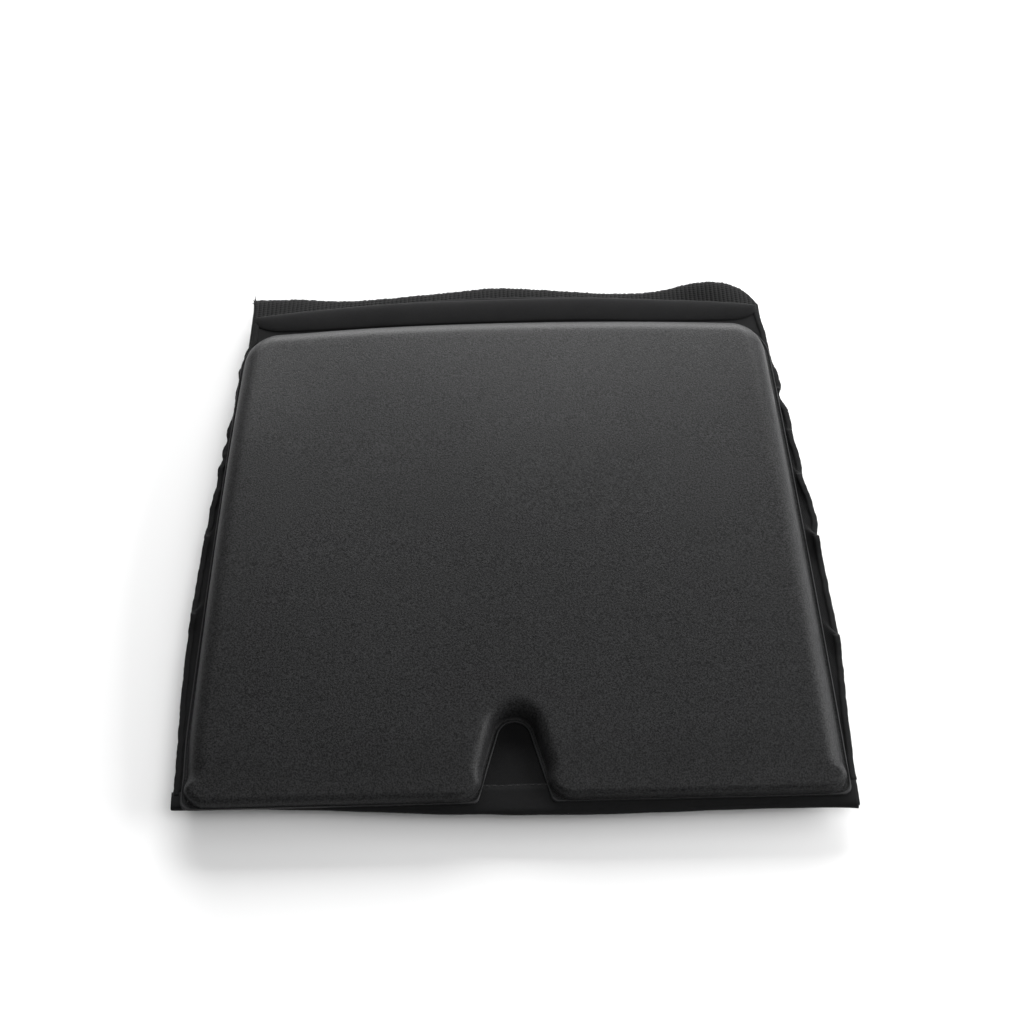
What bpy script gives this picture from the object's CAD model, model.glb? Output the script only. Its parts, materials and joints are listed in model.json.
"""Looks of a lower-back protector: a moulded pad on a folded elastic waist belt.

Everything is in metres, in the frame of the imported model: +X across the back, +Y up the
spine, +Z out through the pad. The belt lies folded beneath the pad on the floor at z = 0.
"""

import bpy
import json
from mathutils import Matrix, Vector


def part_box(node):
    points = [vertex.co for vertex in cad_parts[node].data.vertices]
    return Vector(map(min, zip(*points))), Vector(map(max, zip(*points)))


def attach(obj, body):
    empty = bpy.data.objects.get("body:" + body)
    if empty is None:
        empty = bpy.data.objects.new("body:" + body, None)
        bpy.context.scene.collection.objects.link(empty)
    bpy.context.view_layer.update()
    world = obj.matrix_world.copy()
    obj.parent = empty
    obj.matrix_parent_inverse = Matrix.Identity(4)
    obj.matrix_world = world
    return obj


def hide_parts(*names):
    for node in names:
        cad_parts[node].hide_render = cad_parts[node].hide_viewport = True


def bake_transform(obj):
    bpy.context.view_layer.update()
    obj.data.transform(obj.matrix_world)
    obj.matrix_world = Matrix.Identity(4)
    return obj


bl_info = {
    "name": "Lower Back Protector Belt",
    "version": (1, 0, 0),
    "blender": (4, 5, 0),
    "location": "3D View > Sidebar > Protector",
    "description": "Builds the pad, hems, ribbed elastic and folded belt of a lower-back protector",
    "category": "Add Mesh",
}

import json
import math

import bpy
import numpy as np
from mathutils import Matrix, Vector
from mathutils.geometry import delaunay_2d_cdt

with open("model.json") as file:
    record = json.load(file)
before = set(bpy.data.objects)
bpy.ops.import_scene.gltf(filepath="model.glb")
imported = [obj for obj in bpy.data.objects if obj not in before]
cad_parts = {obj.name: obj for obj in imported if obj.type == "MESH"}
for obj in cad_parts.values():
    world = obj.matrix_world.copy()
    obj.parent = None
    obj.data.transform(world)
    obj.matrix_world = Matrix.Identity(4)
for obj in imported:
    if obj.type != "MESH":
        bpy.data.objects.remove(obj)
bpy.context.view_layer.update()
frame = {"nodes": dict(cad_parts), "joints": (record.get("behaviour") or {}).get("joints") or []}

MM = 0.001
BODY = "back_section"
SIDES = {"right": 1.0, "left": -1.0}


def node_box(node):
    """A CAD node's lowest and highest corners, as two arrays."""
    low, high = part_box(node)
    return np.array(low), np.array(high)


COVER_LOW, COVER_HIGH = node_box("outer_cover")
PANEL_LOW, PANEL_HIGH = node_box("backing_panel")
ELASTIC_LOW, ELASTIC_HIGH = node_box("back_elastic")
PAD_Y = COVER_LOW[1] + 0.5 * MM
PAD_Z = COVER_LOW[2]


# ------------------------------------------------------------------ settings
def length(name, description, default):
    """A property that holds a length in metres."""
    return bpy.props.FloatProperty(
        name=name, description=description, default=default, unit="LENGTH", precision=5
    )


def angle(name, description, default):
    """A property that holds an angle in radians."""
    return bpy.props.FloatProperty(name=name, description=description, default=default, subtype="ANGLE")


def colour(name, description, default):
    """A property that holds a linear colour."""
    return bpy.props.FloatVectorProperty(
        name=name, description=description, default=default, size=3, subtype="COLOR", min=0.0, max=1.0
    )


class PadSettings(bpy.types.PropertyGroup):
    """Shape of the moulded pad."""

    bottom_width: length("Lower width", "Width of the flange at its lower edge", 295.5 * MM)
    top_width: length("Upper width", "Width of the flange above, before its corners are rounded", 260 * MM)
    side_bulge: length("Side bulge", "How far each side bows out half-way up", 0.9 * MM)
    left_extra: length("Left extra", "How much further out the left side stands", 1.2 * MM)
    top_arch: length("Top arch", "How far the upper edge bows up in the middle", 5.0 * MM)
    top_corner: length("Upper corners", "Radius of the upper corners", 18 * MM)
    flange_corner: length("Flange corners", "Radius of the flange's lower corners", 4.0 * MM)
    flange_foot: length("Flange feet", "Radius of the flange beside the notch's mouth", 1.8 * MM)
    block_corner: length("Block corners", "Radius of the raised block's lower corners", 9.8 * MM)
    block_foot: length("Block feet", "Radius of the raised block beside the notch's mouth", 7.0 * MM)
    flange_width: length("Flange width", "Width of the sewing flange", 2.0 * MM)
    flange_height: length("Flange height", "Thickness of the sewing flange", 1.0 * MM)
    rim: length("Rim radius", "Radius of the rounded edge between wall and crown", 9.5 * MM)
    crown: length("Crown radius", "Radius of the face, which is domed along the spine", 1.15)
    crown_middle: length("Crown middle", "Height up the back at which the face is thickest", 12.0 * MM)
    front_ease: length("Lower edge ease", "Height over which the walls turn steep near the lower edge", 16.0 * MM)
    notch_height: length("Notch height", "Height of the tail notch", 38 * MM)
    notch_tip: length("Notch tip", "Radius of the notch's round tip", 7.4 * MM)
    notch_mouth: length("Notch mouth", "Width of the notch at the pad's lower edge", 33 * MM)
    wall_draft: angle("Wall draft", "Lean of the walls", math.radians(13))
    colour: colour("Cover colour", "Colour of the moulded knit laminate", (0.0145, 0.0146, 0.0150))


class BeltSettings(bpy.types.PropertyGroup):
    """Shape of the hems, the elastic and the folded belt."""

    rib_pitch: length("Rib pitch", "Distance between the elastic's upright cords", 2.1 * MM)
    rib_height: length("Rib height", "Depth of the grooves between the cords", 0.75 * MM)
    gather: length("Gather", "How far the gathered sides stand out and in", 1.1 * MM)
    stitch_length: length("Stitch length", "Length of one stitch", 2.4 * MM)
    stitch_gap: length("Stitch gap", "Gap between two stitches", 0.9 * MM)
    thread: length("Thread", "Thickness of the sewing thread", 0.32 * MM)
    cloth_colour: colour("Cloth colour", "Colour of the woven backing", (0.0075, 0.0076, 0.0079))
    tape_colour: colour("Tape colour", "Colour of the hems and binding tapes", (0.0070, 0.0071, 0.0074))
    elastic_colour: colour("Elastic colour", "Colour of the ribbed elastic", (0.0090, 0.0091, 0.0093))
    thread_colour: colour("Thread colour", "Colour of the stitches", (0.016, 0.016, 0.0165))


class StageSettings(bpy.types.PropertyGroup):
    """Camera, lights and floor."""

    eye: bpy.props.FloatVectorProperty(
        name="Camera place", description="Where the camera stands",
        default=(0.0069, -0.4459, 0.8014), subtype="TRANSLATION",
    )
    pitch: angle("Pitch", "How far the camera looks down", math.radians(60))
    turn: angle("Turn", "How far the camera turns to its left", 0.0124)
    roll: angle("Roll", "How far the camera leans", -0.0360)
    field: angle("Field of view", "The camera's field of view", math.radians(30))
    floor_colour: colour("Floor colour", "Colour of the floor", (0.90, 0.90, 0.90))


# ------------------------------------------------------------------ finishes
class Wire:
    """An output socket that takes part in Python expressions. Each operator adds a Math node."""

    def __init__(self, finish, socket):
        self.finish = finish
        self.socket = socket

    def maths(self, operation, *others):
        sockets = dict(enumerate((self, *others)))
        return self.finish.add("ShaderNodeMath", {"operation": operation}, sockets)

    def __add__(self, other):
        return self.maths("ADD", other)

    __radd__ = __add__

    def __sub__(self, other):
        return self.maths("SUBTRACT", other)

    def __rsub__(self, other):
        return self.finish.add("ShaderNodeMath", {"operation": "SUBTRACT"}, {0: other, 1: self})

    def __mul__(self, other):
        return self.maths("MULTIPLY", other)

    __rmul__ = __mul__

    def sine(self):
        return self.maths("SINE")

    def band(self, low, high):
        """0 below low, 1 above high and smooth between them."""
        settings = {"interpolation_type": "SMOOTHSTEP"}
        return self.finish.add("ShaderNodeMapRange", settings, {0: self, 1: low, 2: high})


class Finish:
    """One procedural material."""

    def __init__(self, name, **constants):
        self.material = bpy.data.materials.new(name)
        self.material.use_nodes = True
        self.tree = self.material.node_tree
        self.shader = self.tree.nodes["Principled BSDF"]
        for socket, value in constants.items():
            self.shader.inputs[socket.replace("_", " ")].default_value = value
        place = self.tree.nodes.new("ShaderNodeTexCoord")
        self.place = Wire(self, place.outputs["Object"])

    def add(self, kind, settings, sockets, out=0):
        """Adds a node: its settings first, then the values or wires of its sockets."""
        node = self.tree.nodes.new(kind)
        for key, value in settings.items():
            setattr(node, key, value)
        for key, value in sockets.items():
            self.feed(node.inputs[key], value)
        return Wire(self, node.outputs[out])

    def feed(self, socket, value):
        if isinstance(value, Wire):
            self.tree.links.new(value.socket, socket)
        else:
            socket.default_value = value

    def noise(self, scale, detail, rough):
        sockets = {"Vector": self.place, "Scale": scale, "Detail": detail, "Roughness": rough}
        return self.add("ShaderNodeTexNoise", {"noise_dimensions": "3D"}, sockets)

    def cells(self, scale):
        return self.add("ShaderNodeTexVoronoi", {"feature": "F1"}, {"Vector": self.place, "Scale": scale})

    def axis(self, letter):
        return self.add("ShaderNodeSeparateXYZ", {}, {0: self.place}, out="XYZ".index(letter))

    def blend(self, share, first, second):
        """A colour between two others."""
        sockets = {0: share, 6: as_rgba(first), 7: as_rgba(second)}
        return self.add("ShaderNodeMix", {"data_type": "RGBA"}, sockets, out=2)

    def bump(self, height, depth, strength):
        sockets = {"Strength": strength, "Distance": depth, "Height": height}
        self.feed(self.shader.inputs["Normal"], self.add("ShaderNodeBump", {}, sockets))

    def show(self, **wires):
        """Feeds what varies over the surface to the shader, and gives the material."""
        for socket, value in wires.items():
            self.feed(self.shader.inputs[socket.replace("_", " ")], value)
        return self.material


def as_rgba(shade):
    return shade if isinstance(shade, Wire) else (*shade, 1.0)


def scaled(shade, factor):
    return tuple(min(1.0, c * factor) for c in shade)


# Heights between which the pressed bead round the flange begins and ends.
BEAD_FOOT = (PAD_Z + 1.15 * MM, PAD_Z + 1.35 * MM)
BEAD_TOP = (PAD_Z + 1.55 * MM, PAD_Z + 1.9 * MM)


def knit_laminate(base):
    """Fine-grained knit bonded over moulded foam, satin where it is stretched over the rim."""
    f = Finish("knit_laminate", Specular_IOR_Level=0.10, Sheen_Weight=0.02, Sheen_Roughness=0.4)
    f.shader.inputs["Sheen Tint"].default_value = (0.80, 0.82, 0.85, 1.0)
    fleck = f.noise(1350.0, 3.0, 0.7)
    loops = f.noise(2600.0, 1.0, 0.5)
    cloud = f.noise(24.0, 3.0, 0.55)
    share = (fleck.band(0.34, 0.66) * 0.90 + cloud * 0.20 - 0.05).maths("MAXIMUM", 0.0)
    grained = f.blend(share, scaled(base, 0.35), scaled(base, 1.95))
    # The hot-pressed bead round the flange is smoother and paler.
    height = f.axis("Z")
    above, below = height.band(*BEAD_FOOT), height.band(*BEAD_TOP)
    bead = above * (1.0 - below)
    shade = f.blend(bead * 0.9, grained, scaled(base, 2.4))
    f.bump(loops * 0.5 + fleck * 0.8, 0.00016, 0.9)
    return f.show(Base_Color=shade, Roughness=fleck * 0.12 + 0.38)


def woven_cloth(name, base, pitch, sheen=0.02):
    """Plain weave: two sets of threads, with a little unevenness."""
    f = Finish(name, Specular_IOR_Level=0.07, Sheen_Weight=sheen, Sheen_Roughness=0.5)
    turns = 2 * math.pi / pitch
    across = (f.axis("X") * turns).sine()
    along = (f.axis("Y") * turns).sine()
    weave = across * along
    wear = f.noise(60.0, 4.0, 0.6)
    lint = f.noise(2200.0, 1.0, 0.5)
    share = weave * 0.22 + wear * 0.5 + lint.band(0.35, 0.75) * 0.35
    f.bump(weave * 0.5 + lint * 0.5, 0.00020, 0.7)
    return f.show(
        Base_Color=f.blend(share, scaled(base, 0.60), scaled(base, 1.75)),
        Roughness=lint * 0.15 + 0.72,
    )


def corded_elastic(base):
    """Knitted elastic: short cross threads over the upright cords."""
    f = Finish("corded_elastic", Specular_IOR_Level=0.09, Sheen_Weight=0.015, Sheen_Roughness=0.45)
    cross = (f.axis("Y") * (2 * math.pi / 0.00115) + f.axis("X") * 900.0).sine()
    lint = f.noise(1900.0, 2.0, 0.6)
    wear = f.noise(45.0, 3.0, 0.55)
    share = cross * 0.10 + lint * 0.60 + wear * 0.30
    f.bump(cross * 0.2 + lint * 0.8, 0.00025, 0.8)
    return f.show(
        Base_Color=f.blend(share, scaled(base, 0.45), scaled(base, 1.9)),
        Roughness=lint * 0.2 + 0.62,
    )


def spacer_mesh(base):
    """Open warp-knit mesh with rows of small round holes."""
    f = Finish("spacer_mesh", Specular_IOR_Level=0.25, Sheen_Weight=0.03)
    pitch = 2 * math.pi / 0.0034
    holes = ((f.axis("X") * pitch).sine() * (f.axis("Y") * pitch).sine()).maths("ABSOLUTE")
    open_part = holes.band(0.42, 0.75)
    lint = f.noise(1700.0, 2.0, 0.6)
    f.bump((1.0 - open_part) * 1.0 + lint * 0.25, 0.0006, 0.9)
    share = (1.0 - open_part) * 0.7 + lint * 0.25
    shade = f.blend(share, scaled(base, 0.25), scaled(base, 1.9))
    return f.show(Base_Color=shade, Roughness=lint * 0.15 + 0.7)


def pile_field(name, base, size, depth):
    """Face of a hook or loop field: a dense pile."""
    f = Finish(name, Specular_IOR_Level=0.35, Sheen_Weight=0.03)
    tufts = f.cells(size)
    lint = f.noise(size * 1.7, 2.0, 0.6)
    f.bump(tufts + lint * 0.6, depth, 0.9)
    return f.show(
        Base_Color=f.blend(tufts * 0.8 + lint * 0.3, scaled(base, 1.7), scaled(base, 0.5)),
        Roughness=lint * 0.2 + 0.6,
    )


def sewing_thread(base):
    """Twisted thread."""
    f = Finish("sewing_thread", Specular_IOR_Level=0.4)
    twist = ((f.axis("X") + f.axis("Y")) * (2 * math.pi / 0.0005)).sine()
    f.bump(twist, 0.00005, 0.6)
    shade = f.blend(twist * 0.4 + 0.5, scaled(base, 0.6), scaled(base, 1.4))
    return f.show(Base_Color=shade, Roughness=twist * 0.05 + 0.5)


def foam(name, base, cell):
    """Cut foam with small cells."""
    f = Finish(name, Specular_IOR_Level=0.2)
    pores = f.cells(cell)
    cloud = f.noise(90.0, 3.0, 0.6)
    f.bump(pores, 0.0002, 0.6)
    shade = f.blend(pores * 0.7 + cloud * 0.3, scaled(base, 0.6), scaled(base, 1.3))
    return f.show(Base_Color=shade, Roughness=pores * 0.1 + 0.8)


def plastic(name, base, rough):
    """Moulded plastic with a fine spark-eroded grain."""
    f = Finish(name, Specular_IOR_Level=0.45)
    grain = f.noise(1300.0, 3.0, 0.6)
    cloud = f.noise(35.0, 2.0, 0.5)
    f.bump(grain, 0.00006, 0.5)
    shade = f.blend(cloud, scaled(base, 0.85), scaled(base, 1.15))
    return f.show(Base_Color=shade, Roughness=grain * 0.15 + rough)


FINISHES = {}


def finish(name):
    """The named finish, made on first use from the settings."""
    if name not in FINISHES:
        scene = bpy.context.scene
        pad, belt = scene.protector_pad, scene.protector_belt
        makers = {
            "knit": lambda: knit_laminate(tuple(pad.colour)),
            "cloth": lambda: woven_cloth("backing_weave", tuple(belt.cloth_colour), 0.0009),
            "tape": lambda: woven_cloth("binding_weave", tuple(belt.tape_colour), 0.0007, 0.03),
            "elastic": lambda: corded_elastic(tuple(belt.elastic_colour)),
            "mesh": lambda: spacer_mesh((0.022, 0.022, 0.023)),
            "hooks": lambda: pile_field("hook_pile", (0.014, 0.014, 0.015), 900.0, 0.0005),
            "loops": lambda: pile_field("loop_pile", (0.017, 0.017, 0.018), 1400.0, 0.0004),
            "thread": lambda: sewing_thread(tuple(belt.thread_colour)),
            "impact_foam": lambda: foam("impact_foam_cells", (0.10, 0.10, 0.105), 1400.0),
            "soft_foam": lambda: foam("soft_foam_cells", (0.16, 0.16, 0.16), 900.0),
            "plate": lambda: plastic("plate_plastic", (0.045, 0.045, 0.048), 0.42),
            "stay": lambda: plastic("stay_plastic_grain", (0.62, 0.62, 0.60), 0.35),
        }
        FINISHES[name] = makers[name]()
    return FINISHES[name]


# -------------------------------------------------------------------- meshes
def new_piece(name, points, faces, finish_name):
    """A mesh piece with its finish and its material slot in the record."""
    mesh = bpy.data.meshes.new(name)
    mesh.from_pydata([tuple(p) for p in points], [], [tuple(int(i) for i in f) for f in faces])
    mesh.validate()
    mesh.update()
    mesh.polygons.foreach_set("use_smooth", [True] * len(mesh.polygons))
    mesh.materials.append(finish(finish_name))
    piece = bpy.data.objects.new(name, mesh)
    bpy.context.scene.collection.objects.link(piece)
    return piece


def grid_faces(rows, columns, start=0, flip=False, wrap=False):
    """Quads of a grid of points in row order; wrap joins the last column to the first."""
    last = columns if wrap else columns - 1
    r, c = np.meshgrid(np.arange(rows - 1), np.arange(last), indexing="ij")
    a = r * columns + c
    b = r * columns + (c + 1) % columns
    quads = np.stack([a, b, b + columns, a + columns], axis=-1).reshape(-1, 4) + start
    return quads[:, ::-1] if flip else quads


def swept(sections):
    """A closed section swept through places, capped at both ends: (places, section points, 3)."""
    sections = np.asarray(sections)
    places, ring = sections.shape[:2]
    faces = [tuple(q) for q in grid_faces(places, ring, wrap=True)]
    faces.append(tuple(range(ring))[::-1])
    faces.append(tuple(range((places - 1) * ring, places * ring)))
    return sections.reshape(-1, 3), faces


def two_faced(upper, lower):
    """A thin closed sheet from two grids of points, joined all round. Both are (rows, columns, 3)."""
    rows, columns = upper.shape[:2]
    count = rows * columns
    points = np.concatenate([upper.reshape(-1, 3), lower.reshape(-1, 3)])
    faces = [tuple(q) for q in grid_faces(rows, columns)]
    faces += [tuple(q) for q in grid_faces(rows, columns, count, flip=True)]
    index = np.arange(count).reshape(rows, columns)
    border = np.concatenate([index[0, :], index[1:, -1], index[-1, -2::-1], index[-2:0:-1, 0]])
    for a, b in zip(border, np.roll(border, -1)):
        faces.append((b, a, a + count, b + count))
    return points, faces


def smooth_step(value):
    """0 below 0, 1 above 1 and smooth between them."""
    value = np.clip(value, 0.0, 1.0)
    return value * value * (3 - 2 * value)


def ripple(value, seed):
    """A smooth wandering number between about -1 and 1, the same for the same seed."""
    rng = np.random.default_rng(seed)
    waves = 5
    total = np.zeros_like(np.asarray(value, dtype=float))
    for _ in range(waves):
        wave = np.sin(value * rng.uniform(0.5, 2.5) + rng.uniform(0, 2 * math.pi))
        total += wave * rng.uniform(0.5, 1.0)
    return total / (0.75 * waves) ** 0.9


# ----------------------------------------------------------------- pad shape
def circle_through(p, q, r):
    """The centre and the radius of the circle through three points of the plan."""
    ax, ay, bx, by, cx, cy = *p, *q, *r
    d = 2 * (ax * (by - cy) + bx * (cy - ay) + cx * (ay - by))
    aa, bb, cc = ax * ax + ay * ay, bx * bx + by * by, cx * cx + cy * cy
    ux = (aa * (by - cy) + bb * (cy - ay) + cc * (ay - by)) / d
    uy = (aa * (cx - bx) + bb * (ax - cx) + cc * (bx - ax)) / d
    return ux, uy, math.hypot(ax - ux, ay - uy)


def round_min(a, b, radius):
    """The lesser of two distances, with a corner of the given radius where they meet."""
    inside = np.maximum(radius, np.minimum(a, b))
    return inside - np.hypot(np.maximum(radius - a, 0), np.maximum(radius - b, 0))


class PadPlan:
    """The pad seen from above: how far any point lies inside its edge."""

    def __init__(self, pad):
        self.pad = pad
        low, high = PAD_Y, COVER_HIGH[1] - pad.top_arch
        middle = (pad.bottom_width + pad.top_width) / 4 + pad.side_bulge
        corner = (pad.top_width / 2, high)
        self.side = circle_through((pad.bottom_width / 2, low), (middle, (low + high) / 2), corner)
        self.top = circle_through((-pad.top_width / 2, high), (0, high + pad.top_arch), corner)
        self.low, self.high = low, high
        mouth, tip = pad.notch_mouth / 2, pad.notch_tip
        self.tip_y = low + pad.notch_height - tip
        reach = math.hypot(mouth, self.tip_y - low)
        self.flank = math.atan2(mouth, self.tip_y - low) - math.atan2(tip, math.sqrt(reach**2 - tip**2))

    def notch(self, x, y):
        """Distance outside the notch."""
        c, s, tip = math.cos(self.flank), math.sin(self.flank), self.pad.notch_tip
        dx, dy = np.abs(x) - tip * c, y - self.tip_y - tip * s
        above = dy * c - dx * s > 0
        return np.where(above, np.hypot(x, y - self.tip_y) - tip, dx * c + dy * s)

    def depth(self, x, y, corner, foot):
        """Distance inside the edge, with the given radii at the lower corners and the notch's feet."""
        # The pad was cut a little wider on its left, but not at the very bottom.
        extra = np.where(x < 0, self.pad.left_extra, 0.0) * smooth_step((y - self.low - 0.008) / 0.030)
        side = self.side[2] + extra - np.hypot(np.abs(x) - self.side[0], y - self.side[1])
        top = self.top[2] - np.hypot(x - self.top[0], y - self.top[1])
        inside = round_min(side, top, self.pad.top_corner)
        inside = round_min(inside, y - self.low, corner)
        return round_min(inside, self.notch(x, y), foot)

    def flange(self, x, y):
        return self.depth(x, y, self.pad.flange_corner, self.pad.flange_foot)

    def block(self, x, y):
        pad = self.pad
        return self.depth(x, y, pad.block_corner + pad.flange_width, pad.block_foot + pad.flange_width)

    def walk_to(self, field, points, target, steps=8):
        """Moves points along a field's slope until it reads the target distance."""
        h = 2e-5
        for _ in range(steps):
            x, y = points[:, 0], points[:, 1]
            gx = (field(x + h, y) - field(x - h, y)) / (2 * h)
            gy = (field(x, y + h) - field(x, y - h)) / (2 * h)
            miss = (target - field(x, y)) / np.maximum(gx * gx + gy * gy, 0.2)
            points = points + np.stack([gx * miss, gy * miss], axis=1) * 0.9
        return points

    def outline(self):
        """Points round the flange's edge, closer together near its corners."""
        pad = self.pad
        below = self.low
        mouth = pad.notch_mouth / 2
        tip_top = self.tip_y + pad.notch_tip
        corners = [
            (mouth, below), (pad.bottom_width / 2, below), (pad.top_width / 2, self.high),
            (-pad.top_width / 2, self.high), (-pad.bottom_width / 2, below), (-mouth, below),
        ]
        runs = []
        for start, end in zip(corners, corners[1:]):
            start, end = np.array(start), np.array(end)
            span = np.linalg.norm(end - start)
            near = min(26 * MM, span / 3)
            fine, coarse = 0.8 * MM, 2.0 * MM
            steps = np.concatenate([
                np.arange(0, near, fine), np.arange(near, span - near, coarse), np.arange(span - near, span, fine)
            ])
            runs.append(start + (end - start) * (steps / span)[:, None])
        # Up one flank of the notch, round its tip and down the other.
        c, s, tip = math.cos(self.flank), math.sin(self.flank), pad.notch_tip
        touch = np.array([-tip * c, self.tip_y + tip * s])
        foot = np.array([-mouth, below])
        rise = np.linspace(0, 1, 44, endpoint=False)[:, None]
        left = foot + (touch - foot) * rise
        angles = np.linspace(math.pi - self.flank, self.flank, 26, endpoint=False)
        tip_arc = np.stack([tip * np.cos(angles), self.tip_y + tip * np.sin(angles)], axis=1)
        right = (touch * (-1, 1)) + (foot * (-1, 1) - touch * (-1, 1)) * rise
        runs += [left, tip_arc, right]
        return self.walk_to(self.flange, np.concatenate(runs), 0.0, 14)

    def crown(self, x, y):
        """Height of the domed face above the flange's underside, a little uneven."""
        pad = self.pad
        dome = COVER_HIGH[2] - PAD_Z - (y - pad.crown_middle) ** 2 / (2 * pad.crown)
        uneven = np.sin(x * 31 + 0.6) * np.sin(y * 27 + 1.1) * 0.3 * MM
        dip = smooth_step((-x - 0.060) / 0.07) * smooth_step((y - 0.040) / 0.07) * 1.2 * MM
        ease = smooth_step((self.low + 0.030 - y) / 0.030) * 1.3 * MM
        return dome - 0.3 * MM + uneven - dip - ease

    def near_front(self, y):
        """1 at the pad's lower edge and 0 well above it."""
        return smooth_step((self.low + self.pad.front_ease - y) / (0.6 * self.pad.front_ease))


def walls_and_face(plan, foot, foot_depth, base, skin):
    """Rings of points up the wall, over the rim and the face within, all drawn in by a skin."""
    pad = plan.pad
    front = plan.near_front(foot[:, 1])
    left = smooth_step((-foot[:, 0] - 0.095) / 0.025)
    draft = pad.wall_draft * (1 - 0.75 * front) * (1 - 0.65 * left)
    top = smooth_step((foot[:, 1] - 0.075) / 0.035)
    beside_notch = smooth_step((0.045 - np.abs(foot[:, 0])) / 0.02)
    beside_notch = beside_notch * smooth_step((-0.05 - foot[:, 1]) / 0.02) * (1 - front)
    # The rim is tighter along the lower edge and beside the notch, and softer along the top.
    rim = (pad.rim - skin) * (1 - 0.66 * front) * (1 - 0.40 * beside_notch) + 0.6 * MM * top
    rings, points = [], foot

    def crown_over(points):
        return plan.crown(points[:, 0], points[:, 1]) - skin

    for rise in (0.0, 0.10, 0.25, 0.5, 0.75, 1.0):
        wall_top = crown_over(points) - rim * (1 - np.sin(draft))
        height = base + (wall_top - base) * rise
        swell = math.sin(rise * math.pi) * 0.25 * MM
        points = plan.walk_to(plan.block, points, foot_depth + skin + height * np.tan(draft) - swell, 8)
        rings.append(np.column_stack([points, PAD_Z + height]))
    for turn in np.linspace(0, 1, 12)[1:]:
        angle = draft + (math.pi / 2 - draft) * turn
        wall_top = crown_over(points) - rim * (1 - np.sin(draft))
        depth = foot_depth + skin + wall_top * np.tan(draft) + rim * (np.cos(draft) - np.cos(angle))
        points = plan.walk_to(plan.block, points, depth, 8)
        height = crown_over(points) - rim * (1 - np.sin(angle))
        rings.append(np.column_stack([points, PAD_Z + height]))
    return rings


def closed_form(plan, rings, skin):
    """Joins rings of points into a closed form, with a face over the last and a bottom under the first."""
    count = len(rings[0])
    shell = np.concatenate(rings)
    faces = [tuple(q) for q in grid_faces(len(rings), count, wrap=True)]
    inner = rings[-1]
    step = 3.2 * MM
    gx, gy = np.meshgrid(np.arange(-0.150, 0.1501, step), np.arange(-0.140, 0.1201, step))
    gx, gy = gx.ravel(), gy.ravel()
    room = np.array([np.hypot(inner[:, 0] - x, inner[:, 1] - y).min() for x, y in zip(gx, gy)])
    lowest = plan.block(inner[:, 0], inner[:, 1]).min()
    keep = (room > 1.5 * MM) & (plan.block(gx, gy) > lowest) & inside_outline(gx, gy, inner[:, :2])
    faces_in, points_in = fill_outline(inner[:, :2], np.stack([gx[keep], gy[keep]], axis=1))
    heights = PAD_Z + plan.crown(points_in[:, 0], points_in[:, 1]) - skin
    extra = np.column_stack([points_in[count:], heights[count:]])
    faces += [tuple(i + len(shell) - count for i in f) for f in faces_in]
    bottom_faces, _ = fill_outline(rings[0][:, :2], np.zeros((0, 2)))
    faces += [tuple(f[::-1]) for f in bottom_faces]
    return np.concatenate([shell, extra]), faces


def inside_outline(x, y, outline):
    """Which points lie inside a closed outline, by counting crossings."""
    inside = np.zeros(len(x), dtype=bool)
    for (x0, y0), (x1, y1) in zip(outline, np.roll(outline, -1, axis=0)):
        crosses = (y0 > y) != (y1 > y)
        if crosses.any():
            at = x0 + (y - y0) * (x1 - x0) / (y1 - y0 if y1 != y0 else 1.0)
            inside ^= crosses & (x < at)
    return inside


def make_pad_cover(pad):
    """The moulded cover: flange with a raised bead, drafted wall, rounded rim and domed face."""
    plan = PadPlan(pad)
    edge = plan.outline()
    front = plan.near_front(edge[:, 1])
    width = pad.flange_width * (1 - 0.6 * front)
    foot = plan.walk_to(plan.block, edge, width, 16)
    base = pad.flange_height

    def ring(share, height):
        points = edge + (foot - edge) * share
        return np.column_stack([points, np.broadcast_to(PAD_Z + height * base, len(points))])

    # The pressed edge rolls up into a narrow bead, with a groove between it and the wall.
    profile = (
        (0.12, 0.0), (0.03, 0.15), (0.0, 0.55), (0.0, 1.0), (0.07, 1.35), (0.17, 1.50),
        (0.27, 1.40), (0.36, 1.20), (0.48, 0.96), (0.70, 0.88), (0.90, 0.92),
    )
    rings = [ring(share, height) for share, height in profile]
    rings += walls_and_face(plan, foot, width, base, 0.0)
    points, faces = closed_form(plan, rings, 0.0)
    cover = new_piece("pad_cover", points, faces, "knit")
    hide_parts("outer_cover")
    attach(cover, BODY)


def make_foam_block(pad):
    """The impact foam inside the cover, one skin smaller all over."""
    plan = PadPlan(pad)
    low = node_box("foam_core")[0]
    skin = 1.4 * MM
    edge = plan.outline()
    width = pad.flange_width * (1 - 0.6 * plan.near_front(edge[:, 1]))
    foot = plan.walk_to(plan.block, edge, width + skin, 16)
    rings = walls_and_face(plan, foot, width, low[2] - PAD_Z, skin)
    points, faces = closed_form(plan, rings, skin)
    block = new_piece("foam_block", points, faces, "impact_foam")
    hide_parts("foam_core")
    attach(block, BODY)


def fill_outline(outline, inner_points):
    """Triangles that fill a closed outline through extra points inside it."""
    count = len(outline)
    points = np.concatenate([outline, inner_points]) if len(inner_points) else outline
    edges = [(i, (i + 1) % count) for i in range(count)]
    verts, _, faces, originals, _, _ = delaunay_2d_cdt([Vector(p) for p in points], edges, [], 1, 1e-7)
    back = [o[0] if o else None for o in originals]
    if any(b is None for b in back):
        raise RuntimeError("the outline crosses itself")
    turned = []
    for f in faces:
        f = [back[i] for i in f]
        a, b, c = (points[i] for i in f[:3])
        area = (b[0] - a[0]) * (c[1] - a[1]) - (b[1] - a[1]) * (c[0] - a[0])
        turned.append(f if area > 0 else f[::-1])
    return turned, points


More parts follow.
